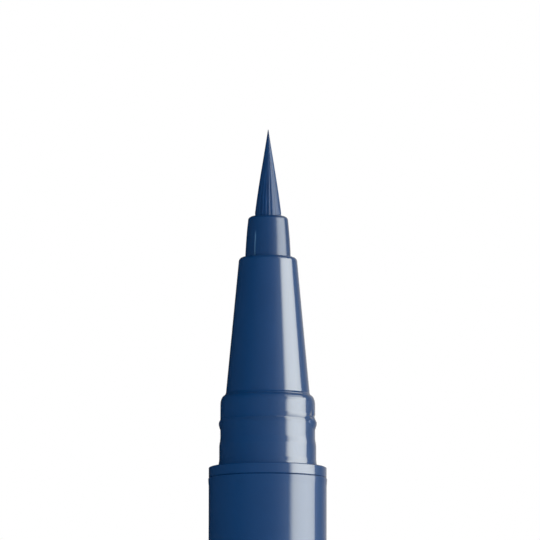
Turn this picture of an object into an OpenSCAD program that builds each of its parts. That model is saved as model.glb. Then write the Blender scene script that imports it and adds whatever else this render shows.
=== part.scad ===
// Liquid eyeliner pen with a brush tip, standing tip up with its cap posted on the tail.
// Millimetres, +Z up. The origin is the centre of the cap's closed end, on the pen's axis.
// Heights inside the pen are counted from the barrel's front rim, and barrel_rim_z places that rim.

/* [Barrel] */
// Outside diameter of the barrel, which the flanges and the cap share
barrel_d = 11; // [10.6:0.1:12]
// Length of the barrel
barrel_l = 90; // [75:1:110]
// Wall of the barrel
barrel_wall = 1.1; // [0.95:0.05:1.25]
// How far the lip at the front rim stands proud
rim_lip = 0.045; // [0.02:0.005:0.1]
// Length over which that lip fades into the barrel
rim_lip_l = 0.9; // [0.5:0.05:1.5]
// Chamfer on each side of a seam
seam_edge = 0.1; // [0.05:0.01:0.15]
// Chamfer on the outer edge of the barrel's rim and of the flange that meets it
rim_edge = 0.06; // [0.04:0.01:0.1]
// How far the two flanges stay inside the barrel's side
flange_inset = 0.01; // [0.01:0.005:0.03]

/* [Front section] */
// Height of the flange that lies on the barrel's rim
flange_h = 1.1; // [1:0.05:2]
// How far the flange's domed top falls towards its edge
flange_crown = 0.15; // [0.1:0.05:0.4]
// Flat ledge between the dome and the collar
flange_ledge = 0.08; // [0.04:0.01:0.2]
// Diameter of the collar where the cap's mouth sits
collar_d = 9.04; // [8.96:0.02:9.14]
// How far the collar's root stands out from that seat
root_rise = 0.06; // [0.02:0.01:0.08]
// Length of the root
root_l = 0.7; // [0.7:0.05:1]
// Length over which the root fades into the seat
root_fade = 0.6; // [0.3:0.05:0.65]
// Length of the straight seat
seat_l = 1.1; // [0.9:0.05:1.3]
// Length of the slope from the seat to the collar's narrower upper part
neck_l = 0.9; // [0.6:0.05:1]
// How far that upper part is drawn in from the seat
neck_drop = 0.1; // [0.08:0.01:0.12]
// Height of the collar above the flange, up to its rounded shoulder
collar_l = 5.75; // [5.5:0.05:6.5]
// Angle from the front to the middle of the right-hand snap nub, whose twin lies opposite
snap_angle = 82; // [0:1:90]
// How far a snap nub stands out from the upper part
nub_rise = 0.17; // [0.13:0.01:0.2]
// Distance from the flange to the crest of a nub
nub_place = 4.02; // [3.9:0.02:4.3]
// Length of a nub's slope towards the flange
nub_fall = 0.85; // [0.6:0.05:1]
// Length of a nub's slope towards the nose
nub_lead = 0.55; // [0.3:0.05:0.7]
// How far off the pen's axis a nub's arc is centred, which sets how soon the nub runs out sideways
nub_offset = 1.6; // [1.4:0.1:2]
// Depth of the shallow notch above the right-hand nub
nub_notch = 0.1; // [0.08:0.01:0.12]
// Length of the notch
nub_notch_l = 0.7; // [0.5:0.05:0.8]
// How far off the axis the notch's arc is centred
notch_offset = 1.2; // [1:0.1:1.6]
// Length of the collar's rounded shoulder
shoulder_l = 0.87; // [0.6:0.01:1.3]
// Fillet between the shoulder and the cone
cone_fillet = 0.25; // [0.15:0.01:0.35]
// Diameter of the cone at its base
cone_base_d = 7.81; // [7.5:0.01:8]
// Diameter of the cone at its nose
cone_tip_d = 5.39; // [5.2:0.01:5.6]
// Length of the cone
cone_l = 12.76; // [11:0.01:15]
// Width of the nose's rounded edge
nose_round_w = 0.45; // [0.3:0.05:0.55]
// Height of the nose's rounded edge
nose_round_h = 0.42; // [0.2:0.02:0.6]
// Wall of the section
section_wall = 0.7; // [0.55:0.05:0.8]
// Length of the tube that is pressed into the barrel
insert_l = 10; // [8:0.5:14]

/* [Brush holder] */
// Length of the holder that shows
holder_l = 3.87; // [3:0.01:5]
// Diameter of the holder at the nose
holder_base_d = 4.26; // [4.1:0.02:4.4]
// Diameter of the holder below its rounded end
holder_tip_d = 3.74; // [3.6:0.02:3.9]
// How far the holder's side bows out of a straight taper
holder_bow = 0.03; // [0.01:0.01:0.06]
// Width of the holder's rounded end
holder_round_w = 0.55; // [0.4:0.05:0.58]
// Height of the holder's rounded end
holder_round_h = 0.37; // [0.2:0.01:0.6]
// Length of the holder's stem inside the nose
stem_l = 4.5; // [3:0.1:5]
// How far the holder's rear flange stands out from the stem
holder_flange_w = 0.33; // [0.25:0.01:0.4]
// Length of the holder's rear flange
holder_flange_l = 1.5; // [1:0.1:2]
// Width of the air vent, a groove along the holder
vent_w = 0.14; // [0.08:0.01:0.25]
// Depth of the vent
vent_depth = 0.12; // [0.06:0.01:0.15]
// Length of the vent that shows
vent_l = 2.4; // [1.5:0.1:3]
// Angle of the vent from the front, towards the left
vent_angle = 35; // [0:1:90]

/* [Brush] */
// Diameter of the brush where it leaves the holder
brush_d = 2.44; // [2.2:0.02:2.5]
// Length of the brush outside the holder
brush_l = 8.17; // [6:0.05:11]
// Diameter of the brush's point
point_d = 0.15; // [0.14:0.01:0.3]
// How far inside the holder the free bristles start
brush_setback = 0.5; // [0.3:0.05:1]
// Rings of bristles, which gives 330, 396 or 468 strands
bristle_rings = 11; // [10:1:12]
// Diameter of the welded root that stops the brush from pulling out
root_d = 3; // [2.9:0.02:3.1]
// Thickness of that root
root_h = 0.8; // [0.6:0.05:1.2]
// Length of the holder's bore that grips the brush
grip_l = 3.25; // [2.5:0.05:3.6]

/* [Feed] */
// Diameter of the fibre core that carries the liquid
core_d = 1.8; // [1.6:0.05:2]
// Diameter of the core's tip in the brush's root
core_tip_d = 1; // [0.8:0.05:1.2]
// How far the core stops short of the regulator's nozzle end
core_recess = 0.3; // [0.1:0.05:0.6]
// How far the guide's two flanges stand out from its tube
guide_flange_w = 0.75; // [0.5:0.05:0.85]
// Thickness of the guide's flanges
guide_flange_t = 0.7; // [0.5:0.05:1]
// Diameter of the regulator's hub
hub_d = 3.8; // [3.4:0.1:4.2]
// Thickness of a regulator fin
fin_t = 0.3; // [0.25:0.05:0.5]
// Gap between two fins
fin_gap = 0.3; // [0.25:0.05:0.5]
// Gap between the fins and the wall round them
fin_clear = 0.1; // [0.05:0.01:0.2]
// Width of the capillary slit through the fins
slit_w = 0.25; // [0.2:0.05:0.4]
// Depth of that slit in the hub
slit_depth = 0.35; // [0.2:0.05:0.5]
// Width of the air notch in the fins
notch_w = 1.4; // [1:0.1:2]
// Depth of the air notch
notch_depth = 0.7; // [0.4:0.05:1]
// Thickness of the disc that closes the tank
disc_t = 2; // [1.5:0.1:3]
// Length of the nozzle on the tank's side of the disc
nozzle_l = 2; // [1:0.1:4]

/* [Tank] */
// Length of the tank between the regulator and the tank plug
tank_l = 36; // [28:1:45]
// Length of the tank plug
plug_l = 6; // [4:0.5:8]
// Wall of the tank plug
plug_wall = 0.8; // [0.6:0.05:1.1]
// Depth of the dish that the ball rests in
dish_depth = 0.7; // [0.4:0.05:1]
// Width of the plug's rim round the dish
dish_rim = 0.9; // [0.6:0.05:1.3]
// How far a seal rib stands out from the plug
rib_rise = 0.15; // [0.1:0.01:0.25]
// Length of a seal rib
rib_l = 0.8; // [0.5:0.05:1.2]
// Diameter of the steel mixing ball
ball_d = 3.2; // [2.5:0.1:4]

/* [Tail plug] */
// Height of the tail plug's flange
tail_flange_h = 0.8; // [0.5:0.05:1.2]
// Length of its skirt inside the barrel
tail_skirt_l = 7; // [5:0.5:10]
// Length of the post that the cap sits on
post_l = 8; // [7:0.5:10]
// Round on the end of the post
post_round = 0.8; // [0.4:0.05:1.2]
// Wall of the tail plug
tail_wall = 0.9; // [0.7:0.05:1.1]

/* [Cap] */
// Thickness of the cap's closed end
cap_end_t = 1.6; // [1.2:0.1:2.5]
// Round on the closed end's outer edge
cap_round = 0.7; // [0.3:0.05:1]
// Depth of the groove that the snap nubs click into
cap_groove_depth = 0.08; // [0.04:0.01:0.12]
// Length of each slope of that groove
cap_groove_l = 0.65; // [0.4:0.05:0.9]
// Radial clearance between the cap and the snap nubs
cap_clear = 0.06; // [0.05:0.01:0.09]
// Gap between the cap's mouth and the flange that it meets
cap_gap = 0.1; // [0.05:0.01:0.2]
// Free length between the brush's point and the inner cap when the pen is closed
tip_clear = 2.3; // [1.5:0.1:4]
// Length of the retaining ring inside the cap
ring_l = 0.8; // [0.5:0.05:1.2]
// Thread-like chamfer on the retaining ring
ring_edge = 0.2; // [0.1:0.05:0.3]

/* [Inner cap] */
// Diameter inside the sealing lip, where it meets the cone
lip_d = 5.8; // [5.7:0.02:5.9]
// How far the lip stands in from the inner cap's bore
lip_rise = 0.15; // [0.1:0.01:0.25]
// Length of the sealing lip
lip_l = 1; // [0.6:0.05:1.5]
// Wall of the inner cap
inner_wall = 0.55; // [0.45:0.05:0.65]
// Thickness of the inner cap's closed end
inner_end_t = 0.8; // [0.6:0.05:1.2]
// How far the stop rib stands out from the inner cap
stop_w = 0.35; // [0.25:0.01:0.4]
// Length of the stop rib
stop_l = 1; // [0.6:0.05:1.5]
// Distance from the inner cap's mouth to the stop rib
stop_setback = 2; // [1.5:0.1:3]
// How far closing the pen presses the inner cap in
press_travel = 1.2; // [0.6:0.1:1.6]
// Length of the space that the spring fills
spring_l = 5.3; // [5:0.1:7]
// Diameter of the spring to the middle of its wire
spring_d = 4.4; // [4:0.1:4.8]
// Diameter of the spring's wire
wire_d = 0.4; // [0.3:0.02:0.4]
// Turns of the spring
spring_turns = 5; // [4:0.5:5]
// Height of the two bosses that centre the spring
boss_h = 0.8; // [0.5:0.05:1.2]

/* [Hidden] */

// Clearances: a fixed fit, a face on its seat, and a sliding fit
fit_gap = 0.02;
seat_gap = 0.02;
slide_gap = 0.05;
// Overrun of every cut
over = 0.5;

// Points on a rounded edge, on a flowing curve and round the axis
round_steps = 6;
curve_steps = 6;
$fn = 96;

// Radii shared by several pieces
barrel_r = barrel_d / 2;
bore_r = barrel_r - barrel_wall;
plug_fit_r = bore_r - fit_gap;
flange_r = barrel_r - flange_inset;
collar_r = collar_d / 2;
neck_r = collar_r - neck_drop;
nub_r = neck_r + nub_rise;
chamber_r = neck_r - section_wall;
cone_base_r = cone_base_d / 2;
cone_tip_r = cone_tip_d / 2;
stem_r = holder_base_d / 2;
holder_flange_r = stem_r + holder_flange_w;
brush_r = brush_d / 2;
root_r = root_d / 2;
core_r = core_d / 2;
hub_r = hub_d / 2;
cap_bore_r = nub_r + cap_clear;
lip_r = lip_d / 2;
inner_bore_r = lip_r + lip_rise;
inner_cap_r = inner_bore_r + inner_wall;
stop_r = inner_cap_r + stop_w;
ball_r = ball_d / 2;
spring_r = spring_d / 2;
wire_r = wire_d / 2;
boss_r = spring_r - wire_r - slide_gap;

// Heights above the barrel's rim, up the front section
collar_top_h = flange_h + collar_l;
shoulder_h = collar_top_h + shoulder_l;
cone_h = shoulder_h + cone_fillet;
nose_h = cone_h + cone_l;
holder_seat_h = nose_h - stem_l;
holder_rear_h = holder_seat_h - seat_gap - holder_flange_l;
holder_top_h = nose_h + holder_l;
root_seat_h = holder_top_h - grip_l;
root_rear_h = root_seat_h - seat_gap - root_h;
brush_tip_h = holder_top_h + brush_l;

// Heights of the feed, down into the barrel
guide_rear_h = collar_top_h + guide_flange_t;
hub_top_h = guide_rear_h - seat_gap;
disc_top_h = -insert_l - seat_gap;
disc_rear_h = disc_top_h - disc_t;
nozzle_end_h = disc_rear_h - nozzle_l;
core_rear_h = nozzle_end_h + core_recess;
fin_pitch = fin_t + fin_gap;
fin_n = floor((collar_top_h - disc_top_h - fin_gap) / fin_pitch);
plug_top_h = disc_rear_h - tank_l;

// The cap covers all that stands above the flange, and the inner cap's lip meets the cone
front_reach = brush_tip_h - flange_h;
inner_rear_z = cap_end_t + spring_l;
cap_l = inner_rear_z + inner_end_t - press_travel + tip_clear + front_reach;
lip_h = cone_h + cone_l * (cone_base_r - lip_r) / (cone_base_r - cone_tip_r);
inner_mouth_z = cap_l - (lip_h - flange_h) + press_travel;
stop_z = inner_mouth_z - stop_setback;
ring_z = stop_z + seat_gap;
cap_step_z = inner_mouth_z + stop_setback;
cap_inner_r = stop_r + slide_gap;

// Places along Z
tail_flange_z = cap_l + cap_gap;
barrel_tail_z = tail_flange_z + tail_flange_h + seat_gap;
barrel_rim_z = barrel_tail_z + barrel_l;
plug_top_z = barrel_rim_z + plug_top_h;
dish_r = plug_fit_r - dish_rim;
dish_slope = atan2(dish_depth, dish_r);
ball_z = plug_top_z - dish_depth + ball_r / cos(dish_slope) + seat_gap;

// Colours
plastic_blue = [0.07, 0.17, 0.32];
plastic_natural = [0.86, 0.87, 0.84];
bristle_blue = [0.06, 0.15, 0.28];
fibre_white = [0.78, 0.80, 0.82];
bright_steel = [0.75, 0.76, 0.78];

// Points of an elliptical arc round a centre, from one angle to another
function arc(centre, size, from, to) =
    [for (i = [0:round_steps]) let (a = from + (to - from) * i / round_steps)
        [centre.x + size.x * cos(a), centre.y + size.y * sin(a)]];

// Points of a flowing curve from one point to the next, without the first
function flow(from, to) =
    [for (i = [1:curve_steps]) let (t = i / curve_steps, ease = (1 - cos(180 * t)) / 2)
        [from.x + (to.x - from.x) * ease, from.y + (to.y - from.y) * t]];

module turned(points, z = 0) {
    translate([0, 0, z]) rotate_extrude() polygon(points);
}

// The collar's root, seat and neck, above the given flange
function collar_outline(base) = concat(
    [[collar_r + root_rise, base], [collar_r + root_rise, base + root_l - root_fade]],
    flow([collar_r + root_rise, base + root_l - root_fade], [collar_r, base + root_l]),
    [[collar_r, base + root_l + seat_l]],
    flow([collar_r, base + root_l + seat_l], [neck_r, base + root_l + seat_l + neck_l]));

// Places its children at a snap nub, moved off the axis towards it by the given distance
module at_snap(side, offset) {
    rotate([0, 0, snap_angle - 90 + side]) translate([offset, 0, 0]) children();
}

// The shallow notch above the right-hand nub. Its arc is centred on the far side of the axis, so the
// cut is deepest in the middle and runs out sideways.
module snap_notch(base) {
    from = base + nub_place + nub_lead / 2;
    rim_r = neck_r + nub_notch + notch_offset;
    deep_r = neck_r - nub_notch + notch_offset;
    at_snap(0, -notch_offset) turned(concat(
        [[rim_r + over, from], [rim_r, from]],
        flow([rim_r, from], [deep_r, from + nub_notch_l / 2]),
        flow([deep_r, from + nub_notch_l / 2], [rim_r, from + nub_notch_l]),
        [[rim_r + over, from + nub_notch_l]]));
}

// What is added to a collar: the two nubs that the cap clicks over
module snap_nubs(base) {
    crest = base + nub_place;
    inner_r = chamber_r - nub_offset + fit_gap;
    foot_r = neck_r - nub_offset - fit_gap;
    for (side = [0, 180]) at_snap(side, nub_offset) turned(concat(
        [[inner_r, crest - nub_fall], [foot_r, crest - nub_fall]],
        flow([foot_r, crest - nub_fall], [nub_r - nub_offset, crest]),
        flow([nub_r - nub_offset, crest], [foot_r, crest + nub_lead]),
        [[inner_r, crest + nub_lead]]));
}

// Radius of the cone's outside at a height above the rim
function cone_r(h) = cone_base_r - (cone_base_r - cone_tip_r) * (h - cone_h) / cone_l;

// Distance from the point as a share of the brush's length, to radius as a share of its base
brush_belly_share = 0.3;
point_share = point_d / brush_d;
function brush_share(t) =
    point_share + (1 - point_share) * (t + brush_belly_share * t * t * (1 - t));

// Bristles: a round lattice of triangles. Every triangle with its edge on an outer ring carries one
// three-sided strand, which narrows with the bundle towards the point, so that no two strands cross.
function ring_start(k) = k == 0 ? 0 : 1 + 3 * k * (k - 1);
function lattice(k, j) = k == 0 ? 0 : ring_start(k) + j % (6 * k);

module bristles() {
    // Share of its lattice triangle that a strand fills once it is free of the backing
    strand_share = 0.86;
    // Levels of a strand, as shares of the free length
    level_shares = [0.12, 0.55, 1];
    free_l = brush_l + brush_setback;
    backing_l = grip_l - brush_setback - seat_gap;
    levels = len(level_shares);
    pack_r = brush_r - fit_gap;
    n_lattice = ring_start(bristle_rings + 1);
    n_edge = 6 * bristle_rings;

    strands = [for (k = [0:bristle_rings - 1]) for (s = [0:5]) for (i = [0:k])
        [lattice(k, s * k + i), lattice(k + 1, s * (k + 1) + i), lattice(k + 1, s * (k + 1) + i + 1)]];
    floor_faces = [for (k = [1:bristle_rings - 1]) for (s = [0:5]) for (i = [0:k - 1])
        [lattice(k, s * k + i), lattice(k, s * k + i + 1), lattice(k + 1, s * (k + 1) + i + 1)]];

    flat = concat([[0, 0]], [for (k = [1:bristle_rings]) for (j = [0:6 * k - 1])
        let (a = 60 * j / k, r = pack_r * k / bristle_rings) [r * cos(a), r * sin(a)]]);
    // The bundle stays straight inside the holder and narrows outside it
    function bundle_share(share) = let (h = share * free_l - brush_setback)
        h < 0 ? 1 : brush_share(1 - h / brush_l);
    strand_points = [for (strand = strands)
        let (c = (flat[strand[0]] + flat[strand[1]] + flat[strand[2]]) / 3)
        for (share = level_shares) for (v = strand)
            let (p = (c + (flat[v] - c) * strand_share) * bundle_share(share))
            [p.x, p.y, share * free_l]];
    points = concat(
        [for (p = flat) [p.x, p.y, 0]],
        [for (j = [0:n_edge - 1]) let (p = flat[lattice(bristle_rings, j)]) [p.x, p.y, -backing_l]],
        [[0, 0, -backing_l]],
        strand_points);
    rear = n_lattice;
    centre = n_lattice + n_edge;
    first = centre + 1;
    // Vertex v of a strand at a level, where level 0 is the lattice
    function at(n, level, v) =
        level == 0 ? strands[n][v] : first + (n * levels + level - 1) * 3 + v;
    faces = concat(
        floor_faces,
        [for (n = [0:len(strands) - 1]) for (level = [0:levels - 1]) for (v = [0:2])
            [at(n, level, v), at(n, level + 1, v), at(n, level + 1, (v + 1) % 3)]],
        [for (n = [0:len(strands) - 1]) for (level = [0:levels - 1]) for (v = [0:2])
            [at(n, level, v), at(n, level + 1, (v + 1) % 3), at(n, level, (v + 1) % 3)]],
        [for (n = [0:len(strands) - 1]) [at(n, levels, 0), at(n, levels, 2), at(n, levels, 1)]],
        [for (j = [0:n_edge - 1]) let (next = (j + 1) % n_edge)
            [rear + j, lattice(bristle_rings, j), lattice(bristle_rings, next)]],
        [for (j = [0:n_edge - 1]) let (next = (j + 1) % n_edge)
            [rear + j, lattice(bristle_rings, next), rear + next]],
        [for (j = [0:n_edge - 1]) [centre, rear + j, rear + (j + 1) % n_edge]]);
    color(bristle_blue)
        translate([0, 0, barrel_rim_z + holder_top_h - brush_setback])
            polyhedron(points, faces);
}

// The welded root behind the bristles: a disc with a hole for the core's tip
module brush_root() {
    hole_r = core_tip_d / 2 + slide_gap;
    color(bristle_blue) turned([
        [hole_r, root_rear_h],
        [root_r - seam_edge, root_rear_h],
        [root_r, root_rear_h + seam_edge],
        [root_r, root_rear_h + root_h],
        [hole_r, root_rear_h + root_h]], barrel_rim_z);
}

module brush_holder() {
    grip_r = brush_r + fit_gap;
    counterbore_r = root_r + fit_gap;
    tip_r = holder_tip_d / 2;
    round_h = holder_top_h - holder_round_h;
    side = [for (i = [0:curve_steps]) let (t = i / curve_steps)
        [stem_r + (tip_r - stem_r) * t + holder_bow * sin(180 * t), nose_h + (round_h - nose_h) * t]];
    color(plastic_blue) difference() {
        turned(concat(
            [[counterbore_r, holder_rear_h],
             [holder_flange_r - seam_edge, holder_rear_h],
             [holder_flange_r, holder_rear_h + seam_edge],
             [holder_flange_r, holder_rear_h + holder_flange_l],
             [stem_r, holder_rear_h + holder_flange_l]],
            side,
            arc([tip_r - holder_round_w, round_h], [holder_round_w, holder_round_h], 0, 90),
            [[grip_r, holder_top_h],
             [grip_r, root_seat_h],
             [counterbore_r, root_seat_h]]), barrel_rim_z);
        rotate([0, 0, -vent_angle])
            translate([-vent_w / 2, -stem_r - over, barrel_rim_z + holder_seat_h])
                cube([vent_w, over + vent_depth, stem_l + vent_l]);
    }
}

module front_section() {
    nose_bore_r = stem_r + fit_gap;
    seat_bore_r = holder_flange_r + fit_gap;
    dome_w = flange_r - collar_r - root_rise - flange_ledge;
    shoulder_w = neck_r - cone_base_r - cone_fillet / 2;
    nose_round_z = nose_h - nose_round_h;
    outside = concat(
        [[0, -insert_l],
         [plug_fit_r - seam_edge, -insert_l],
         [plug_fit_r, -insert_l + seam_edge],
         [plug_fit_r, seat_gap],
         [flange_r - rim_edge, seat_gap],
         [flange_r, seat_gap + rim_edge]],
        arc([flange_r - dome_w, flange_h - flange_crown], [dome_w, flange_crown], 0, 90),
        collar_outline(flange_h),
        arc([neck_r - shoulder_w, collar_top_h], [shoulder_w, shoulder_l], 0, 90),
        flow([neck_r - shoulder_w, shoulder_h], [cone_base_r, cone_h]),
        arc([cone_r(nose_round_z) - nose_round_w, nose_round_z], [nose_round_w, nose_round_h], 0, 90),
        [[0, nose_h]]);
    inside = [
        [0, -insert_l - over],
        [chamber_r, -insert_l - over],
        [chamber_r, collar_top_h],
        [cone_r(cone_h) - section_wall, cone_h],
        [seat_bore_r, holder_rear_h],
        [seat_bore_r, holder_seat_h],
        [nose_bore_r, holder_seat_h],
        [nose_bore_r, nose_h + over],
        [0, nose_h + over]];
    color(plastic_blue) translate([0, 0, barrel_rim_z]) difference() {
        union() {
            difference() {
                turned(outside);
                snap_notch(flange_h);
            }
            snap_nubs(flange_h);
        }
        turned(inside);
    }
}

// The tube that holds the brush and its holder forward and leads the core through the cone
module core_guide() {
    bore = core_r + fit_gap;
    mid_top_h = holder_rear_h - seat_gap;
    color(plastic_natural) turned([
        [bore, guide_rear_h],
        [root_r + guide_flange_w, guide_rear_h],
        [root_r + guide_flange_w, guide_rear_h + guide_flange_t],
        [root_r, guide_rear_h + guide_flange_t],
        [root_r, mid_top_h - guide_flange_t],
        [root_r + guide_flange_w, mid_top_h - guide_flange_t],
        [root_r + guide_flange_w, mid_top_h],
        [root_r, mid_top_h],
        [root_r, root_rear_h - seat_gap],
        [bore, root_rear_h - seat_gap]], barrel_rim_z);
}

module feed_core() {
    shoulder = root_rear_h - seat_gap;
    color(fibre_white) turned([
        [0, core_rear_h],
        [core_r, core_rear_h],
        [core_r, shoulder],
        [core_tip_d / 2, shoulder],
        [core_tip_d / 2, root_seat_h],
        [0, root_seat_h]], barrel_rim_z);
}

// The regulator: a comb of fins that takes up liquid as the air in the tank expands
module regulator() {
    bore = core_r + fit_gap;
    fin_r = chamber_r - fin_clear;
    stack_l = fin_n * fin_pitch + over;
    color(plastic_natural) difference() {
        union() {
            turned([
                [bore, nozzle_end_h],
                [hub_r, nozzle_end_h],
                [hub_r, disc_rear_h],
                [plug_fit_r - seam_edge, disc_rear_h],
                [plug_fit_r, disc_rear_h + seam_edge],
                [plug_fit_r, disc_top_h],
                [hub_r, disc_top_h],
                [hub_r, hub_top_h],
                [bore, hub_top_h]], barrel_rim_z);
            for (i = [0:fin_n - 1])
                turned([[hub_r - seat_gap, 0], [fin_r, 0], [fin_r, fin_t], [hub_r - seat_gap, fin_t]],
                       barrel_rim_z + disc_top_h + fin_gap + i * fin_pitch);
        }
        translate([-slit_w / 2, -fin_r - over, barrel_rim_z + disc_top_h])
            cube([slit_w, over + fin_r - hub_r + slit_depth, stack_l]);
        translate([-notch_w / 2, fin_r - notch_depth, barrel_rim_z + disc_top_h])
            cube([notch_w, notch_depth + over, stack_l]);
    }
}

module barrel() {
    color(plastic_blue) turned(concat(
        [[bore_r + seam_edge, -barrel_l],
         [barrel_r - seam_edge, -barrel_l],
         [barrel_r, -barrel_l + seam_edge],
         [barrel_r, -rim_lip_l]],
        flow([barrel_r, -rim_lip_l], [barrel_r + rim_lip, -rim_edge]),
        [[barrel_r + rim_lip - rim_edge, 0],
         [bore_r + seam_edge, 0],
         [bore_r, -seam_edge],
         [bore_r, -barrel_l + seam_edge]]), barrel_rim_z);
}

module mixing_ball() {
    color(bright_steel) translate([0, 0, ball_z]) sphere(r = ball_r);
}

// The plug that closes the tank, dished so that the ball comes to rest on the axis
module tank_plug() {
    body_r = plug_fit_r - rib_rise;
    rear_h = -plug_l;
    color(plastic_natural) turned([
        [0, -dish_depth],
        [dish_r, 0],
        [plug_fit_r - rib_rise, 0],
        [plug_fit_r, -rib_rise],
        [plug_fit_r, -rib_rise - rib_l],
        [body_r, -rib_rise * 2 - rib_l],
        [body_r, rear_h + rib_rise * 2 + rib_l],
        [plug_fit_r, rear_h + rib_rise + rib_l],
        [plug_fit_r, rear_h + rib_rise],
        [body_r, rear_h],
        [body_r - plug_wall, rear_h],
        [body_r - plug_wall, -dish_depth - plug_wall],
        [0, -dish_depth - plug_wall]], plug_top_z);
}

// The tail plug: a skirt in the barrel, a flange, and a post like the collar, with snap nubs for the cap.
// It is drawn with its post up and then turned over.
module tail_plug() {
    post_end = tail_flange_h + post_l;
    hollow_r = plug_fit_r - tail_wall;
    post_hollow_r = neck_r - tail_wall;
    outside = concat(
        [[0, -tail_skirt_l],
         [plug_fit_r - seam_edge, -tail_skirt_l],
         [plug_fit_r, -tail_skirt_l + seam_edge],
         [plug_fit_r, 0],
         [flange_r - seam_edge, 0],
         [flange_r, seam_edge],
         [flange_r, tail_flange_h - seam_edge],
         [flange_r - seam_edge, tail_flange_h]],
        collar_outline(tail_flange_h),
        arc([neck_r - post_round, post_end - post_round], [post_round, post_round], 0, 90),
        [[0, post_end]]);
    inside = [
        [0, -tail_skirt_l - over],
        [hollow_r, -tail_skirt_l - over],
        [hollow_r, -tail_wall],
        [post_hollow_r, 0],
        [post_hollow_r, post_end - tail_wall],
        [0, post_end - tail_wall]];
    color(plastic_blue) translate([0, 0, tail_flange_z + tail_flange_h]) rotate([180, 0, 0]) difference() {
        union() {
            turned(outside);
            snap_nubs(tail_flange_h);
        }
        turned(inside);
    }
}

module cap_shell() {
    click_z = cap_l - nub_place;
    ring_r = inner_cap_r + slide_gap;
    color(plastic_blue) turned(concat(
        [[0, 0]],
        arc([barrel_r - cap_round, cap_round], [cap_round, cap_round], -90, 0),
        [[barrel_r, cap_l - seam_edge],
         [barrel_r - seam_edge, cap_l],
         [cap_bore_r + seam_edge, cap_l],
         [cap_bore_r, cap_l - seam_edge],
         [cap_bore_r, click_z + cap_groove_l]],
        flow([cap_bore_r, click_z + cap_groove_l], [cap_bore_r + cap_groove_depth, click_z]),
        flow([cap_bore_r + cap_groove_depth, click_z], [cap_bore_r, click_z - cap_groove_l]),
        [[cap_bore_r, cap_step_z],
         [cap_inner_r, cap_step_z - (cap_bore_r - cap_inner_r)],
         [cap_inner_r, ring_z + ring_l + ring_edge],
         [ring_r, ring_z + ring_l],
         [ring_r, ring_z],
         [cap_inner_r, ring_z],
         [cap_inner_r, cap_end_t],
         [boss_r, cap_end_t],
         [boss_r, cap_end_t + boss_h],
         [0, cap_end_t + boss_h]]));
}

// The sprung inner cap, whose lip seals round the cone when the pen is closed
module inner_cap() {
    color(plastic_natural) turned(concat(
        [[0, inner_rear_z - boss_h],
         [boss_r, inner_rear_z - boss_h],
         [boss_r, inner_rear_z],
         [inner_cap_r - seam_edge, inner_rear_z],
         [inner_cap_r, inner_rear_z + seam_edge],
         [inner_cap_r, stop_z - stop_l - stop_w],
         [stop_r, stop_z - stop_l],
         [stop_r, stop_z],
         [inner_cap_r, stop_z],
         [inner_cap_r, inner_mouth_z - seam_edge],
         [inner_cap_r - seam_edge, inner_mouth_z],
         [inner_bore_r, inner_mouth_z]],
        flow([inner_bore_r, inner_mouth_z], [lip_r, inner_mouth_z - lip_l / 2]),
        flow([lip_r, inner_mouth_z - lip_l / 2], [inner_bore_r, inner_mouth_z - lip_l]),
        [[inner_bore_r, inner_rear_z + inner_end_t],
         [0, inner_rear_z + inner_end_t]]));
}

// The spring: one unbroken helix of round wire between its two seats
wire_sides = 8;
turn_steps = 24;
spring_rise = spring_l - wire_d - 2 * seat_gap;
spring_steps = turn_steps * spring_turns;
function spring_point(i) = let (a = 360 * i / turn_steps)
    [spring_r * cos(a), spring_r * sin(a), spring_rise * i / spring_steps];
// Distances from one point of the wire to every point at least half a turn away
spring_gaps = [for (i = [turn_steps / 2:spring_steps]) norm(spring_point(i) - spring_point(0)) - wire_d];
echo(least_spring_gap = min(spring_gaps));

module inner_cap_spring() {
    slope = atan2(spring_rise / spring_turns, 360 * spring_r * PI / 180);
    points = [for (i = [0:spring_steps]) let (a = 360 * i / turn_steps, c = spring_point(i))
        for (s = [0:wire_sides - 1]) let (b = 360 * s / wire_sides,
            out = wire_r * cos(b), up = wire_r * sin(b))
            c + [out * cos(a) + up * sin(slope) * sin(a),
                 out * sin(a) - up * sin(slope) * cos(a),
                 up * cos(slope)]];
    last = spring_steps * wire_sides;
    faces = concat(
        [for (i = [0:spring_steps - 1]) for (s = [0:wire_sides - 1])
            let (n = (s + 1) % wire_sides, a = i * wire_sides, b = a + wire_sides)
            [a + s, a + n, b + n]],
        [for (i = [0:spring_steps - 1]) for (s = [0:wire_sides - 1])
            let (n = (s + 1) % wire_sides, a = i * wire_sides, b = a + wire_sides)
            [a + s, b + n, b + s]],
        [for (s = [1:wire_sides - 2]) [0, s + 1, s]],
        [for (s = [1:wire_sides - 2]) [last, last + s, last + s + 1]]);
    color(bright_steel) translate([0, 0, cap_end_t + seat_gap + wire_r]) polyhedron(points, faces);
}

bristles();
brush_root();
brush_holder();
front_section();
core_guide();
feed_core();
regulator();
barrel();
mixing_ball();
tank_plug();
tail_plug();
cap_shell();
inner_cap();
inner_cap_spring();
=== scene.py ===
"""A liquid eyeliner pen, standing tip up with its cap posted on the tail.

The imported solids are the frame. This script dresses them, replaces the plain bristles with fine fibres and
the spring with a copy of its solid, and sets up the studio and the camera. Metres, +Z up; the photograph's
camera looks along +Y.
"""

import math

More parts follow.
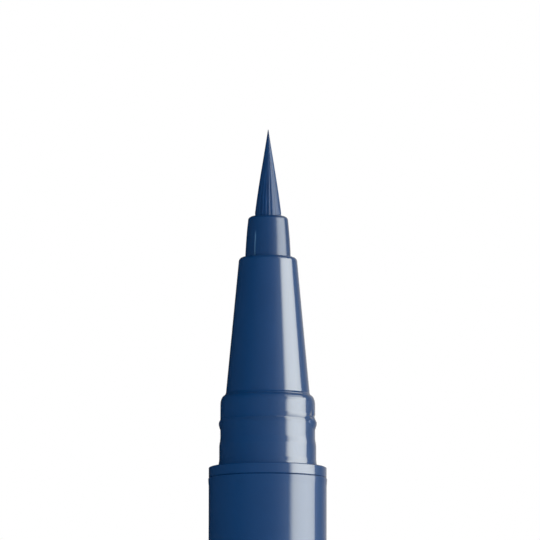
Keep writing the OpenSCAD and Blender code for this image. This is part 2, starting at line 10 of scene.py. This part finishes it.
import bpy
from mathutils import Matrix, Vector


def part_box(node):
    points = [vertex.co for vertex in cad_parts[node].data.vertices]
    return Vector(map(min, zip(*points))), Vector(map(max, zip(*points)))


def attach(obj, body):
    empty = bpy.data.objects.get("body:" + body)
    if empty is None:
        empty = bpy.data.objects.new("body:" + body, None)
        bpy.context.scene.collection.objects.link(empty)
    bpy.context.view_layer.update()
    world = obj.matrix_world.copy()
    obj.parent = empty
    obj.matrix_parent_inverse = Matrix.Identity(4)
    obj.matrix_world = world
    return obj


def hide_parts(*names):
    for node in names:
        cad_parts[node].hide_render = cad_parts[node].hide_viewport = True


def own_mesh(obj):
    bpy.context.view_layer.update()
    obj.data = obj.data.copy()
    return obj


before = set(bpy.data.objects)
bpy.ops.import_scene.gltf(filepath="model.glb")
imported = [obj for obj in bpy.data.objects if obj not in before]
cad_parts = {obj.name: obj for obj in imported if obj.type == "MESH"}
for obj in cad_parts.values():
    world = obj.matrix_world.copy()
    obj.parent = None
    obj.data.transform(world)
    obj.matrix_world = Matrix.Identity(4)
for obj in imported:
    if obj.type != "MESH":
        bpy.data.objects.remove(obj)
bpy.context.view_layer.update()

MM = 0.001

# The photograph: where its middle lies on the pen, what it takes in, and how the camera looks at it
VIEW_HEIGHT = 50.45 * MM
VIEW_CENTRE_ABOVE_RIM = 19.55 * MM
VIEW_CENTRE_ASIDE = 0.19 * MM
CAMERA_DISTANCE = 900 * MM
CAMERA_ELEVATION = -6.5
CAMERA_ROLL = 0.09
CAMERA_NEAR, CAMERA_FAR = 0.01, 20
SENSOR = 36

# Colours, linear
NAVY = (0.0020, 0.063, 0.220)
NAVY_DEEP = (0.0016, 0.056, 0.198)
BRISTLE_NAVY = (0.0020, 0.045, 0.165)
BRISTLE_NAVY_LIGHT = (0.0060, 0.070, 0.230)
NATURAL = (0.70, 0.72, 0.68)
NATURAL_SHADE = (0.60, 0.62, 0.58)
FIBRE = (0.52, 0.56, 0.60)
FIBRE_SHADE = (0.34, 0.38, 0.44)
STEEL = (0.56, 0.57, 0.59)
STEEL_SHADE = (0.44, 0.45, 0.48)
FLOOR_GREY = (0.80, 0.80, 0.81)

# The clear surface of each moulding: its index of refraction and its roughness
BARREL_COAT = (1.67, 0.03)
FRONT_COAT = (1.80, 0.03)
HOLDER_COAT = (1.52, 0.17)
# How bright the holder's navy is beside the others'
HOLDER_DEPTH = 0.85
PLASTIC_IOR = 1.4
BRISTLE_COAT = (1.5, 0.2)
BRISTLE_COAT_WEIGHT = 0.38

# The faint ring between the snap nubs: its crest's height over the barrel's rim, how far it reaches below
# and above the crest, and its rise
SNAP_RING_ABOVE_RIM = 5.42 * MM
SNAP_RING_BELOW = 0.5 * MM
SNAP_RING_ABOVE = 0.62 * MM
SNAP_RING_RISE = 0.1 * MM
# The dent in the notch over the right-hand nub: where it lies, half its width, and its depth
DENT_ANGLE = 70
DENT_RADIUS = 4.42 * MM
DENT_ABOVE_RING = 0.35 * MM
DENT_HALF_WIDTH = 0.6 * MM
DENT_DEPTH = 0.12 * MM
# The air vent, a fine groove along the holder, with a highlight painted along it in the base colour: where
# it lies, half its width, the share of it that is fully bright, how far it reaches above the cone, over what
# height it fades in, the painted highlight's colour
VENT_ANGLE = -35.8
VENT_HALF_WIDTH = 0.09 * MM
VENT_FULL_SHARE = 0.6
VENT_ABOVE_CONE = 2.4 * MM
VENT_FADE = 0.5 * MM
VENT_HIGHLIGHT_COLOUR = (0.075, 0.21, 0.43)

# The brush's outline: its width at the point and the swell of its belly, as shares, how much wider it is
# outside the holder than at its root, and how deep the fibres reach into the holder
POINT_WIDTH, BELLY = 0.02, 0.24
FREE_WIDTH = 1.06
FOOT_DEPTH = 0.45 * MM
# Its fibres: how many, the sides and rings of each, how they crowd from the middle outwards and along their
# length, how thick they are, and how they thin to their ends
FIBRES = 680
FIBRE_SIDES, FIBRE_RINGS = 5, 16
CROWDING_ACROSS, CROWDING_ALONG = 0.42, 0.9
FIBRE_FULLNESS, FIBRE_LEAST = 1.3, 0.06
END_THINNING, END_POWER = 0.75, 6
# How much shorter an outer fibre may be, how far each sways, and how much of its shading is its own
SHORTENING, SWAY, OWN_SHADING = 0.10, 0.03, 0.15
# The locks that ink draws the fibres into: how many, their depth, how fast they fade towards the point,
# where they start, and the waves that make them uneven, each with its swing, its count round the brush and
# its shift
LOCKS, LOCK_DEPTH, LOCK_FADE = 19, 0.02, 1.6
LOCK_START = 2.1
LOCK_WAVES = ((2.2, 3, 0), (1.3, 5, 1))

# The studio round the pen. Angles across are turned from the camera towards the right.
# The strip light shows only as the bright stripe that it throws on gloss; the soft lights do the lighting
STRIP_RADIUS = 600 * MM
# Its rows from the bottom up: the angle up, and the angles across where it begins and ends
STRIP_ROWS = ((-40, 38.7, 105.6), (3.5, 38.7, 105.6), (5.5, 38.9, 106.8), (9, 39.2, 107.2),
              (13, 41.6, 110), (17, 43.4, 111.5), (24, 44, 110), (35, 44, 100), (55, 44, 85))
STRIP_STRENGTH = 5.3
STRIP_TINT = (1, 1, 0.88)
# Brightness across the strip: at which share of its width, and how bright
STRIP_SHARES = ((0, 0), (0.06, 0.10), (0.12, 0.46), (0.17, 0.78), (0.24, 0.95), (0.38, 1.0), (0.66, 0.96),
                (0.84, 0.83), (0.93, 0.70), (1, 0.5))
# Brightness up the strip, in the same way
STRIP_RISE = ((0, 1), (0.51, 1), (0.55, 0.85), (0.60, 0.66), (0.66, 0.45), (0.74, 0.28), (1, 0.15))
# Soft lights, which gloss doesn't show: the angle across and the brightness of each
SOFT_LIGHTS = ((-150, 1.0), (-90, 0.75), (-30, 1.15), (30, 2.0), (75, 2.0), (150, 3.0))
SOFT_RISE = 12
SOFT_SIZE = 800 * MM
SOFT_DISTANCE = 1000 * MM
FILL_LEVEL = 0.03
# Cards seen only in reflections: a dark ring with a glow in front, and a grey card behind the pen, right
RING_RADIUS = 700 * MM
RING_HALF_HEIGHT = 1250 * MM
CARD_STEPS = 24
LID_SIDES = 48
GREY_FROM, GREY_TO = 122, 172
GREY_LEVEL = 0.5
GREY_SHARES = ((0, 0.15), (0.3, 0.42), (0.6, 0.8), (1, 1))
FRONT_LEVEL = 0.22
FRONT_SHARES = ((0, 0.02), (0.33, 0.02), (0.413, 0.1), (0.477, 0.24), (0.542, 0.42), (0.606, 0.6),
                (0.658, 0.65), (0.70, 0.8), (0.73, 1.0), (0.9, 1.0), (1, 0.3))
DARK_LEVEL = 0.004
LID_LEVEL = 0.05

FLOOR_HALF_SIZE = 3000 * MM
# How white the floor looks to the camera beside the pen and far from it, and where the one becomes the other
FLOOR_WHITE_NEAR, FLOOR_WHITE_FAR = 0.3, 1.0
FLOOR_NEAR, FLOOR_FAR = 150 * MM, 900 * MM
FLOOR_WHITE_LEVEL = 0.94


def around(angle, radius, height):
    """A place round the pen, at an angle turned from the camera towards the right."""
    a = math.radians(angle)
    return Vector((radius * math.sin(a), -radius * math.cos(a), height))


def new_material(name):
    """An empty node material with its output and a Principled shader."""
    material = bpy.data.materials.new(name)
    material.use_nodes = True
    nodes = material.node_tree.nodes
    nodes.clear()
    output = nodes.new("ShaderNodeOutputMaterial")
    shader = nodes.new("ShaderNodeBsdfPrincipled")
    material.node_tree.links.new(shader.outputs["BSDF"], output.inputs["Surface"])
    return material, shader


def math_node(owner, operation, *values):
    """The result of an operation on sockets and numbers, in the nodes of a material or world."""
    nodes, links = owner.node_tree.nodes, owner.node_tree.links
    node = nodes.new("ShaderNodeMath")
    node.operation = operation
    for value, socket in zip(values, node.inputs):
        if isinstance(value, (int, float)):
            socket.default_value = value
        else:
            links.new(value, socket)
    return node.outputs[0]


def object_noise(material, scale, detail=2.0, stretch=(1, 1, 1)):
    """Noise in the object's own space, with features of about 1/scale metres."""
    nodes, links = material.node_tree.nodes, material.node_tree.links
    coords = nodes.new("ShaderNodeTexCoord")
    mapping = nodes.new("ShaderNodeMapping")
    mapping.inputs["Scale"].default_value = stretch
    noise = nodes.new("ShaderNodeTexNoise")
    noise.inputs["Scale"].default_value = scale
    noise.inputs["Detail"].default_value = detail
    links.new(coords.outputs["Object"], mapping.inputs["Vector"])
    links.new(mapping.outputs["Vector"], noise.inputs["Vector"])
    return noise.outputs["Fac"]


def object_place(material):
    """The sockets X, Y and Z of a point's place in the object's own space."""
    nodes, links = material.node_tree.nodes, material.node_tree.links
    coords = nodes.new("ShaderNodeTexCoord")
    parts = nodes.new("ShaderNodeSeparateXYZ")
    links.new(coords.outputs["Object"], parts.inputs["Vector"])
    return parts.outputs


def ramp(material, factor, low, high, start=0.3, end=0.7):
    """A colour that runs from low to high as the factor goes from start to end."""
    nodes, links = material.node_tree.nodes, material.node_tree.links
    node = nodes.new("ShaderNodeValToRGB")
    node.color_ramp.elements[0].position = start
    node.color_ramp.elements[0].color = (*low, 1)
    node.color_ramp.elements[1].position = end
    node.color_ramp.elements[1].color = (*high, 1)
    links.new(factor, node.inputs["Fac"])
    return node.outputs["Color"]


def spread(material, factor, low, high):
    """The factor, from 0 to 1, taken to the range from low to high."""
    nodes, links = material.node_tree.nodes, material.node_tree.links
    node = nodes.new("ShaderNodeMapRange")
    node.inputs["To Min"].default_value = low
    node.inputs["To Max"].default_value = high
    links.new(factor, node.inputs["Value"])
    return node.outputs["Result"]


def fade(owner, value, start, end, smooth=True):
    """0 where the value is at the start or before it, rising to 1 at the end and past it."""
    nodes, links = owner.node_tree.nodes, owner.node_tree.links
    node = nodes.new("ShaderNodeMapRange")
    node.interpolation_type = "SMOOTHSTEP" if smooth else "LINEAR"
    node.inputs["From Min"].default_value = start
    node.inputs["From Max"].default_value = end
    links.new(value, node.inputs["Value"])
    return node.outputs["Result"]


def bump(material, shader, factor, depth, strength=1.0, under=None):
    """Relief of the given depth in metres, over another relief where one is given."""
    nodes, links = material.node_tree.nodes, material.node_tree.links
    node = nodes.new("ShaderNodeBump")
    node.inputs["Strength"].default_value = strength
    node.inputs["Distance"].default_value = depth
    links.new(factor, node.inputs["Height"])
    if under:
        links.new(under, node.inputs["Normal"])
    links.new(node.outputs["Normal"], shader.inputs["Normal"])
    if shader.inputs["Coat Weight"].default_value:
        links.new(node.outputs["Normal"], shader.inputs["Coat Normal"])
    return node.outputs["Normal"]


def ring_relief(material, crest, below, above):
    """A ring round the pen: 1 at the crest's height, falling to 0 over the given reaches below and above."""
    offset = math_node(material, "SUBTRACT", object_place(material)["Z"], crest)
    up = math_node(material, "MULTIPLY", offset, 1 / above)
    down = math_node(material, "MULTIPLY", offset, -1 / below)
    away = math_node(material, "MINIMUM", math_node(material, "MAXIMUM", up, down), 1)
    return math_node(material, "POWER", math_node(material, "SUBTRACT", 1, away), 2)


def dent_relief(material, centre, half_width):
    """A round dent: 0 at its centre, rising to 1 at its edge and beyond."""
    nodes, links = material.node_tree.nodes, material.node_tree.links
    coords = nodes.new("ShaderNodeTexCoord")
    distance = nodes.new("ShaderNodeVectorMath")
    distance.operation = "DISTANCE"
    distance.inputs[1].default_value = centre
    links.new(coords.outputs["Object"], distance.inputs[0])
    return fade(material, distance.outputs["Value"], 0, half_width)


def outward(material, place, angle):
    """How far out a point lies in the direction of an angle round the pen."""
    direction = around(angle, 1, 0)
    x_share = math_node(material, "MULTIPLY", place["X"], direction.x)
    y_share = math_node(material, "MULTIPLY", place["Y"], direction.y)
    return math_node(material, "ADD", x_share, y_share)


def vent_highlight_mask(material, top):
    """Where the painted highlight along the air vent goes: 1 along the vent and up to its top, and 0
    elsewhere.
    """
    place = object_place(material)
    aside = math_node(material, "ABSOLUTE", outward(material, place, VENT_ANGLE + 90))
    within = fade(material, aside, VENT_HALF_WIDTH, VENT_FULL_SHARE * VENT_HALF_WIDTH)
    on_its_side = math_node(material, "GREATER_THAN", outward(material, place, VENT_ANGLE), 0)
    below_top = fade(material, place["Z"], top, top - VENT_FADE, smooth=False)
    return math_node(material, "MULTIPLY", within, math_node(material, "MULTIPLY", on_its_side, below_top))


def gloss_plastic(name, coat, depth=1.0, ring_z=None, vent_top=None):
    """Polished moulded navy plastic: a soft inner glow under a hard, clear surface.

    The depth dims the navy. The front section has a faint ring between its snap nubs, at ring_z, and a dent.
    The holder has a highlight painted along its air vent, up to vent_top.
    """
    material, shader = new_material(name)
    nodes, links = material.node_tree.nodes, material.node_tree.links
    tone = object_noise(material, scale=140, detail=3)
    low, high = ([depth * part for part in colour] for colour in (NAVY_DEEP, NAVY))
    colour = ramp(material, tone, low, high)
    if vent_top:
        # A painted highlight: a pale line mixed into the navy along the air vent
        mix = nodes.new("ShaderNodeMixRGB")
        mix.inputs["Color2"].default_value = (*VENT_HIGHLIGHT_COLOUR, 1)
        links.new(vent_highlight_mask(material, vent_top), mix.inputs["Fac"])
        links.new(colour, mix.inputs["Color1"])
        colour = mix.outputs["Color"]
    links.new(colour, shader.inputs["Base Color"])
    grain = object_noise(material, scale=2600)
    links.new(spread(material, grain, low=0.42, high=0.50), shader.inputs["Roughness"])
    shader.inputs["IOR"].default_value = PLASTIC_IOR
    shader.inputs["Coat Weight"].default_value = 1.0
    shader.inputs["Coat IOR"].default_value, shader.inputs["Coat Roughness"].default_value = coat
    waviness = object_noise(material, scale=320, detail=1, stretch=(1, 1, 0.35))
    surface = bump(material, shader, waviness, depth=0.001 * MM, strength=0.5)
    if ring_z:
        ring = ring_relief(material, ring_z, SNAP_RING_BELOW, SNAP_RING_ABOVE)
        surface = bump(material, shader, ring, SNAP_RING_RISE, under=surface)
        dent_centre = around(DENT_ANGLE, DENT_RADIUS, ring_z + DENT_ABOVE_RING)
        dent = dent_relief(material, dent_centre, DENT_HALF_WIDTH)
        bump(material, shader, dent, DENT_DEPTH, under=surface)
    return material


def bristle_plastic():
    """Dyed filaments, lighter and darker in streaks along the brush."""
    material, shader = new_material("navy_filaments")
    links = material.node_tree.links
    streaks = object_noise(material, scale=5200, stretch=(1, 1, 0.012))
    tone = ramp(material, streaks, BRISTLE_NAVY, BRISTLE_NAVY_LIGHT, start=0.35, end=0.72)
    links.new(tone, shader.inputs["Base Color"])
    links.new(spread(material, streaks, low=0.36, high=0.50), shader.inputs["Roughness"])
    shader.inputs["IOR"].default_value = PLASTIC_IOR
    shader.inputs["Coat Weight"].default_value = BRISTLE_COAT_WEIGHT
    shader.inputs["Coat IOR"].default_value, shader.inputs["Coat Roughness"].default_value = BRISTLE_COAT
    return material


def natural_plastic():
    """Undyed moulded plastic, slightly milky."""
    material, shader = new_material("natural_plastic")
    links = material.node_tree.links
    tone = object_noise(material, scale=400, detail=3)
    links.new(ramp(material, tone, NATURAL_SHADE, NATURAL), shader.inputs["Base Color"])
    grain = object_noise(material, scale=6000)
    links.new(spread(material, grain, low=0.42, high=0.55), shader.inputs["Roughness"])
    bump(material, shader, grain, depth=0.003 * MM, strength=0.5)
    return material


def fibre_core():
    """Bonded fibres that run lengthwise, damp with ink."""
    material, shader = new_material("bonded_fibre")
    links = material.node_tree.links
    strands = object_noise(material, scale=9000, detail=3, stretch=(1, 1, 0.03))
    links.new(ramp(material, strands, FIBRE_SHADE, FIBRE), shader.inputs["Base Color"])
    links.new(spread(material, strands, low=0.7, high=0.9), shader.inputs["Roughness"])
    bump(material, shader, strands, depth=0.02 * MM)
    return material


def bright_steel():
    """Drawn and polished steel with faint streaks."""
    material, shader = new_material("bright_steel")
    links = material.node_tree.links
    streaks = object_noise(material, scale=4000, detail=3, stretch=(1, 1, 6))
    links.new(ramp(material, streaks, STEEL_SHADE, STEEL), shader.inputs["Base Color"])
    links.new(spread(material, streaks, low=0.16, high=0.3), shader.inputs["Roughness"])
    shader.inputs["Metallic"].default_value = 1.0
    return material


def dress(material, *names):
    """Gives CAD nodes a material."""
    for name in names:
        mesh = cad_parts[name].data
        mesh.materials.clear()
        mesh.materials.append(material)


def fraction(n, seed):
    """A repeatable number from 0 to 1 for fibre n."""
    return math.modf(abs(math.sin(n * 12.9898 + seed * 78.233) * 43758.5453))[0]


def brush_share(t):
    """The brush's width at a share of its length from the point, as a share of its width at the holder."""
    return POINT_WIDTH + (1 - POINT_WIDTH) * (t + BELLY * t * t * (1 - t))


def lock_phase(angle):
    """How far round its lock a fibre at an angle lies, and how fast that changes with the angle."""
    phase, pace = LOCKS * angle + LOCK_START, LOCKS
    for swing, count, shift in LOCK_WAVES:
        phase += swing * math.sin(count * angle + shift)
        pace += swing * count * math.cos(count * angle + shift)
    return phase, pace


def make_brush(material):
    """The brush: fine fibres that narrow together to the point, drawn by the ink into a few locks.

    The ink fills the gaps between the fibres, so the shading follows the locks more than each fibre.
    """
    low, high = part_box("bristles")
    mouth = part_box("brush_holder")[1].z
    foot = mouth - FOOT_DEPTH
    length, free = high.z - foot, high.z - mouth
    root_radius = (high.x - low.x) / 2
    radius = FREE_WIDTH * root_radius
    taper = radius / free
    golden_turn = math.pi * (3 - math.sqrt(5))
    thickness = FIBRE_FULLNESS * radius / math.sqrt(FIBRES)
    sides, last_ring = FIBRE_SIDES, FIBRE_RINGS - 1
    vertices, faces, normals = [], [], []
    for n in range(FIBRES):
        share = ((n + 0.5) / FIBRES) ** CROWDING_ACROSS
        angle = n * golden_turn
        phase, pace = lock_phase(angle)
        reach = 1 - SHORTENING * share * fraction(n, 1) ** 2
        sway = SWAY * (fraction(n, 2) - 0.5)
        first = len(vertices)
        for ring in range(FIBRE_RINGS):
            up = reach * (ring / last_ring) ** CROWDING_ALONG
            width = brush_share(min(length * (1 - up) / free, 1))
            depth = LOCK_DEPTH * share * min(1, LOCK_FADE * (1 - up))
            thinning = 1 - END_THINNING * (ring / last_ring) ** END_POWER
            thin = thickness * max(width, FIBRE_LEAST) * thinning
            bundle_radius = (radius if ring else root_radius) * width
            out = (bundle_radius - thin) * share * (1 + depth * math.cos(phase))
            a = angle + sway * math.sin(math.pi * up)
            centre = Vector((out * math.cos(a), out * math.sin(a), foot + length * up))
            slope = depth * pace * math.sin(phase)
            bundle = Vector((math.cos(a) - slope * math.sin(a), math.sin(a) + slope * math.cos(a), taper))
            bundle.normalize()
            for side in range(sides):
                b = 2 * math.pi * side / sides + a
                own = Vector((math.cos(b), math.sin(b), 0))
                vertices.append(centre + thin * own)
                normals.append(bundle.lerp(own, OWN_SHADING).normalized())
        for ring in range(last_ring):
            for side in range(sides):
                here = first + ring * sides
                nxt = (side + 1) % sides
                faces.append((here + side, here + nxt, here + sides + nxt, here + sides + side))
        faces.append(tuple(first + side for side in reversed(range(sides))))
        faces.append(tuple(first + last_ring * sides + side for side in range(sides)))
    mesh = bpy.data.meshes.new("brush_fibres")
    mesh.from_pydata(vertices, [], faces)
    mesh.shade_smooth()
    mesh.normals_split_custom_set_from_vertices(normals)
    mesh.materials.append(material)
    brush = bpy.data.objects.new("brush_fibres", mesh)
    bpy.context.scene.collection.objects.link(brush)
    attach(brush, "pen")
    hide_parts("bristles")


def make_spring(material):
    """The inner cap's spring, in the shape of its solid, in a mesh of its own and carried with the cap."""
    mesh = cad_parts["inner_cap_spring"].data.copy()
    mesh.materials.clear()
    mesh.materials.append(material)
    spring = bpy.data.objects.new("spring_wire", mesh)
    bpy.context.scene.collection.objects.link(spring)
    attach(spring, "cap")
    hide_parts("inner_cap_spring")
    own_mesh(spring)


def aim(thing, target):
    """Turns a camera or light towards a point."""
    thing.rotation_euler = (target - thing.location).to_track_quat("-Z", "Y").to_euler()


def shade_stops(material, factor, shares, tint=(1, 1, 1)):
    """A tint whose brightness follows pairs of place and brightness along the factor."""
    shade = material.node_tree.nodes.new("ShaderNodeValToRGB")
    stops = shade.color_ramp.elements
    while len(stops) < len(shares):
        stops.new(0.5)
    for stop, (position, bright) in zip(stops, shares):
        stop.position = position
        stop.color = (*(bright * part for part in tint), 1)
    material.node_tree.links.new(factor, shade.inputs["Fac"])
    return shade.outputs["Color"]


def glow_material(name, level, shares=None, tint=(1, 1, 1), rise=((0, 1), (1, 1))):
    """Plain light of one level, or shaded across and up the card by pairs of place and brightness."""
    material = bpy.data.materials.new(name)
    material.use_nodes = True
    nodes, links = material.node_tree.nodes, material.node_tree.links
    nodes.clear()
    output = nodes.new("ShaderNodeOutputMaterial")
    glow = nodes.new("ShaderNodeEmission")
    glow.inputs["Strength"].default_value = level
    links.new(glow.outputs["Emission"], output.inputs["Surface"])
    if shares:
        place = nodes.new("ShaderNodeUVMap")
        across = nodes.new("ShaderNodeSeparateXYZ")
        links.new(place.outputs["UV"], across.inputs["Vector"])
        both = nodes.new("ShaderNodeVectorMath")
        both.operation = "MULTIPLY"
        links.new(shade_stops(material, across.outputs["X"], shares, tint), both.inputs[0])
        links.new(shade_stops(material, across.outputs["Y"], rise), both.inputs[1])
        links.new(both.outputs["Vector"], glow.inputs["Color"])
    return material


def show_in_reflections(card):
    """Puts a card in the scene where only gloss sees it."""
    bpy.context.scene.collection.objects.link(card)
    card.visible_camera = False
    card.visible_diffuse = False
    card.visible_shadow = False
    card.visible_transmission = False


def make_card(name, rows, radius, material, centre):
    """A card bent round the pen, seen only in reflections.

    Each row gives a height and the angles across between which the card runs there.
    """
    levels = len(rows)
    low, high = rows[0][0], rows[-1][0]
    vertices, places = [], []
    for i in range(CARD_STEPS + 1):
        for height, start, end in rows:
            vertices.append(around(start + (end - start) * i / CARD_STEPS, radius, centre.z + height))
            places.append((i / CARD_STEPS, (height - low) / (high - low)))
    faces = []
    for i in range(CARD_STEPS):
        for j in range(levels - 1):
            here = i * levels + j
            faces.append((here, here + levels, here + levels + 1, here + 1))
    mesh = bpy.data.meshes.new(name)
    mesh.from_pydata(vertices, [], faces)
    layer = mesh.uv_layers.new(name="UVMap")
    for loop in mesh.loops:
        layer.data[loop.index].uv = places[loop.vertex_index]
    mesh.materials.append(material)
    show_in_reflections(bpy.data.objects.new(name, mesh))


def make_lid(name, height, material):
    """A round card over or under the pen, seen only in reflections."""
    rim = [around(360 * i / LID_SIDES, RING_RADIUS, height) for i in range(LID_SIDES)]
    mesh = bpy.data.meshes.new(name)
    mesh.from_pydata(rim, [], [tuple(range(LID_SIDES))])
    mesh.materials.append(material)
    show_in_reflections(bpy.data.objects.new(name, mesh))


def make_soft_light(number, angle, bright, centre):
    """A wide soft light that looks at the pen from an angle round it."""
    light = bpy.data.lights.new(f"soft_light_{number}", "AREA")
    light.size = SOFT_SIZE
    light.energy = bright * math.pi * SOFT_SIZE ** 2
    soft = bpy.data.objects.new(light.name, light)
    rise = SOFT_DISTANCE * math.tan(math.radians(SOFT_RISE))
    soft.location = around(angle, SOFT_DISTANCE, centre.z + rise)
    aim(soft, centre)
    soft.visible_camera = False
    soft.visible_glossy = False
    bpy.context.scene.collection.objects.link(soft)


def make_studio(centre):
    """The strip light, the dark and grey cards round it, and the soft lights."""
    strip = glow_material("strip_light", STRIP_STRENGTH, STRIP_SHARES, STRIP_TINT, STRIP_RISE)
    front = glow_material("front_card", FRONT_LEVEL, FRONT_SHARES)
    dark = glow_material("dark_card", DARK_LEVEL)
    lid = glow_material("lid_card", LID_LEVEL)
    behind = glow_material("grey_card", GREY_LEVEL, GREY_SHARES)
    rows = [(STRIP_RADIUS * math.tan(math.radians(up)), start, end) for up, start, end in STRIP_ROWS]
    make_card("strip_light", rows, STRIP_RADIUS, strip, centre)
    ends = (-RING_HALF_HEIGHT, RING_HALF_HEIGHT)
    make_card("card_front", [(z, GREY_TO - 360, GREY_FROM) for z in ends], RING_RADIUS, front, centre)
    make_card("card_behind", [(z, GREY_FROM, GREY_TO) for z in ends], RING_RADIUS, behind, centre)
    make_lid("card_over", centre.z + RING_HALF_HEIGHT, lid)
    make_lid("card_under", centre.z - RING_HALF_HEIGHT, dark)
    for number, (angle, bright) in enumerate(SOFT_LIGHTS):
        make_soft_light(number, angle, bright, centre)


def background_seen(owner):
    """1 for rays that look at the background, straight, in gloss or through clear matter, else 0."""
    path = owner.node_tree.nodes.new("ShaderNodeLightPath").outputs
    straight_or_gloss = math_node(owner, "MAXIMUM", path["Is Camera Ray"], path["Is Glossy Ray"])
    return math_node(owner, "MAXIMUM", straight_or_gloss, path["Is Transmission Ray"])


def floor_paper():
    """Plain pale paper that takes the pen's shadow and looks whiter to the camera the farther off it is."""
    material, shader = new_material("floor_paper")
    nodes, links = material.node_tree.nodes, material.node_tree.links
    shader.inputs["Base Color"].default_value = (*FLOOR_GREY, 1)
    shader.inputs["Roughness"].default_value = 0.9
    coords = nodes.new("ShaderNodeTexCoord")
    distance = nodes.new("ShaderNodeVectorMath")
    distance.operation = "LENGTH"
    links.new(coords.outputs["Object"], distance.inputs[0])
    far = fade(material, distance.outputs["Value"], FLOOR_NEAR, FLOOR_FAR)
    whiteness = spread(material, far, FLOOR_WHITE_NEAR, FLOOR_WHITE_FAR)
    white = nodes.new("ShaderNodeEmission")
    white.inputs["Strength"].default_value = FLOOR_WHITE_LEVEL
    mix = nodes.new("ShaderNodeMixShader")
    links.new(math_node(material, "MULTIPLY", whiteness, background_seen(material)), mix.inputs["Fac"])
    links.new(shader.outputs["BSDF"], mix.inputs[1])
    links.new(white.outputs["Emission"], mix.inputs[2])
    links.new(mix.outputs["Shader"], nodes["Material Output"].inputs["Surface"])
    return material


def make_floor():
    """The floor. It stays under the cap, so the pen rises off the cap when the two are pulled apart."""
    signs = ((-1, -1), (1, -1), (1, 1), (-1, 1))
    corners = [(x * FLOOR_HALF_SIZE, y * FLOOR_HALF_SIZE, 0) for x, y in signs]
    mesh = bpy.data.meshes.new("floor")
    mesh.from_pydata(corners, [], [(0, 1, 2, 3)])
    mesh.materials.append(floor_paper())
    floor = bpy.data.objects.new("floor", mesh)
    bpy.context.scene.collection.objects.link(floor)
    floor.visible_glossy = False
    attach(floor, "cap")


def make_world():
    """White where the camera or a reflection looks past the pen, and a soft even fill elsewhere."""
    world = bpy.data.worlds.new("studio")
    bpy.context.scene.world = world
    world.use_nodes = True
    nodes, links = world.node_tree.nodes, world.node_tree.links
    nodes.clear()
    output = nodes.new("ShaderNodeOutputWorld")
    background = nodes.new("ShaderNodeBackground")
    level = spread(world, background_seen(world), FILL_LEVEL, 1.0)
    background.inputs["Color"].default_value = (1, 1, 1, 1)
    links.new(level, background.inputs["Strength"])
    links.new(background.outputs["Background"], output.inputs["Surface"])


def make_camera(centre):
    """The photograph's camera, which looks up at the pen a little."""
    data = bpy.data.cameras.new("camera")
    data.sensor_width = SENSOR
    data.lens = SENSOR * CAMERA_DISTANCE / VIEW_HEIGHT
    data.clip_start = CAMERA_NEAR
    data.clip_end = CAMERA_FAR
    camera = bpy.data.objects.new("camera", data)
    e = math.radians(CAMERA_ELEVATION)
    camera.location = centre + CAMERA_DISTANCE * Vector((0, -math.cos(e), math.sin(e)))
    aim(camera, centre)
    camera.rotation_euler.rotate_axis("Z", math.radians(CAMERA_ROLL))
    bpy.context.scene.collection.objects.link(camera)
    bpy.context.scene.camera = camera


rim_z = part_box("barrel")[1].z
view_centre = Vector((VIEW_CENTRE_ASIDE, 0, rim_z + VIEW_CENTRE_ABOVE_RIM))
make_camera(view_centre)

ring_z = rim_z + SNAP_RING_ABOVE_RIM
vent_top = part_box("front_section")[1].z + VENT_ABOVE_CONE
steel = bright_steel()
filaments = bristle_plastic()
dress(gloss_plastic("navy_barrel_plastic", BARREL_COAT), "barrel", "tail_plug", "cap_shell")
dress(gloss_plastic("navy_front_plastic", FRONT_COAT, ring_z=ring_z), "front_section")
dress(gloss_plastic("navy_holder_plastic", HOLDER_COAT, HOLDER_DEPTH, vent_top=vent_top), "brush_holder")
dress(natural_plastic(), "core_guide", "regulator", "tank_plug", "inner_cap")
dress(fibre_core(), "feed_core")
dress(steel, "mixing_ball", "inner_cap_spring")
dress(filaments, "bristles", "brush_root")
make_brush(filaments)
make_spring(steel)

make_studio(view_centre)
make_floor()
make_world()
bpy.context.scene.view_settings.view_transform = "Standard"
